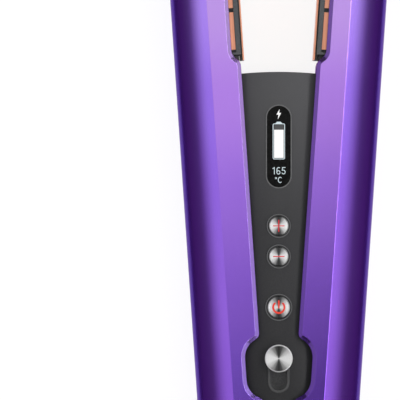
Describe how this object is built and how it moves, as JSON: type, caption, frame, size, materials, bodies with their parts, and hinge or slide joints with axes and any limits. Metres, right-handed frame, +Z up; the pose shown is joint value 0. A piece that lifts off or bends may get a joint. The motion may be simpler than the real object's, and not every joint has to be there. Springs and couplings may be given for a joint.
{
  "type": "hair straightener",
  "caption": "Cordless hair straightener standing open, with two hinged arms, heated flexing plates, a control panel, a travel lock and a magnetic charging lead.",
  "frame": {"origin": "centre of the bounding box's base at rest, without the charging lead", "axes": "+Y along the body towards the tips, +Z up from the table through the flat front, +X to the right arm"},
  "size_m": [0.138, 0.4574, 0.0428],
  "materials": {
    "purple_shell": "satin",
    "panel_grey": "matte",
    "frame_black": "matte",
    "carrier_grey": "matte",
    "seal_black": "matte",
    "copper": "satin",
    "spun_metal": "brushed",
    "button_metal": "brushed",
    "ring_black": "satin",
    "cap_black": "gloss",
    "glass": "gloss",
    "light": "gloss",
    "board": "matte",
    "cell": "satin",
    "ceramic": "matte",
    "contacts": "polished",
    "lead_black": "matte",
    "adapter_black": "matte",
    "nickel": "polished"
  },
  "bodies": {
    "chassis": {"control_panel": "panel_grey", "back_panel": "panel_grey", "centre_frame": "frame_black", "display_bezel": "button_metal", "display_lens": "glass", "display_module": "frame_black", "main_board": "board", "plus_bezel": "button_metal", "minus_bezel": "button_metal", "power_bezel": "button_metal", "plus_switch": "frame_black", "minus_switch": "frame_black", "power_switch": "frame_black", "slot_liner": "panel_grey", "led_lens": "light", "cell_1": "cell", "cell_2": "cell", "cell_3": "cell", "cell_4": "cell", "hinge_pin": "nickel", "front_ring": "ring_black", "front_disc": "spun_metal", "back_ring": "ring_black", "back_disc": "spun_metal", "end_cap": "cap_black", "charging_socket": "contacts"},
    "right_arm": {"right_shell": "purple_shell", "right_spine": "frame_black", "right_carrier": "carrier_grey", "right_seal": "seal_black", "right_plate": "copper", "right_segments": "copper", "right_heater": "ceramic", "right_sensor": "ceramic", "right_flex": "copper"},
    "left_arm": {"left_shell": "purple_shell", "left_spine": "frame_black", "left_carrier": "carrier_grey", "left_seal": "seal_black", "left_plate": "copper", "left_segments": "copper", "left_heater": "ceramic", "left_sensor": "ceramic", "left_flex": "copper"},
    "plus_button": {"plus_button": "button_metal"},
    "minus_button": {"minus_button": "button_metal"},
    "power_button": {"power_button": "button_metal"},
    "lock_slider": {"lock_knob": "spun_metal", "lock_latch": "frame_black"},
    "charging_lead": {"magnet_head": "nickel", "cord_run": "lead_black", "cord_coil": "lead_black", "cord_tail": "lead_black", "adapter": "adapter_black", "live_pin": "nickel", "neutral_pin": "nickel"},
    "swivel_boot": {"swivel_boot": "lead_black", "strain_relief": "lead_black"}
  },
  "joints": [
    {"name": "right_arm_hinge", "type": "hinge", "parent": "chassis", "child": "right_arm", "pos_m": [0, -0.13023, 0.021], "axis": [0, 0, 1], "range_deg": [0, 3.87], "stiffness_Nm_per_rad": 3, "springref_deg": -5.73},
    {"name": "left_arm_hinge", "type": "hinge", "parent": "chassis", "child": "left_arm", "pos_m": [0, -0.13023, 0.021], "axis": [0, 0, 1], "range_deg": [-3.87, 0], "stiffness_Nm_per_rad": 3, "springref_deg": 5.73},
    {"name": "plus_press", "type": "slide", "parent": "chassis", "child": "plus_button", "axis": [0, 0, -1], "range_m": [0, 0.0006], "stiffness_N_per_m": 2500},
    {"name": "minus_press", "type": "slide", "parent": "chassis", "child": "minus_button", "axis": [0, 0, -1], "range_m": [0, 0.0006], "stiffness_N_per_m": 2500},
    {"name": "power_press", "type": "slide", "parent": "chassis", "child": "power_button", "axis": [0, 0, -1], "range_m": [0, 0.0006], "stiffness_N_per_m": 2500},
    {"name": "lock_slide", "type": "slide", "parent": "chassis", "child": "lock_slider", "axis": [0, -1, 0], "range_m": [0, 0.008]},
    {"name": "lead_release", "type": "slide", "parent": "chassis", "child": "charging_lead", "axis": [0, -1, 0], "range_m": [0, 0.012]},
    {"name": "boot_swivel", "type": "hinge", "parent": "charging_lead", "child": "swivel_boot", "pos_m": [0, -0.16023, 0.021], "axis": [0, 1, 0], "continuous": true, "deforming": ["cord_run"]}
  ],
  "couplings": [
    {"joint": "left_arm_hinge", "follows": "right_arm_hinge", "ratio": -1}
  ]
}
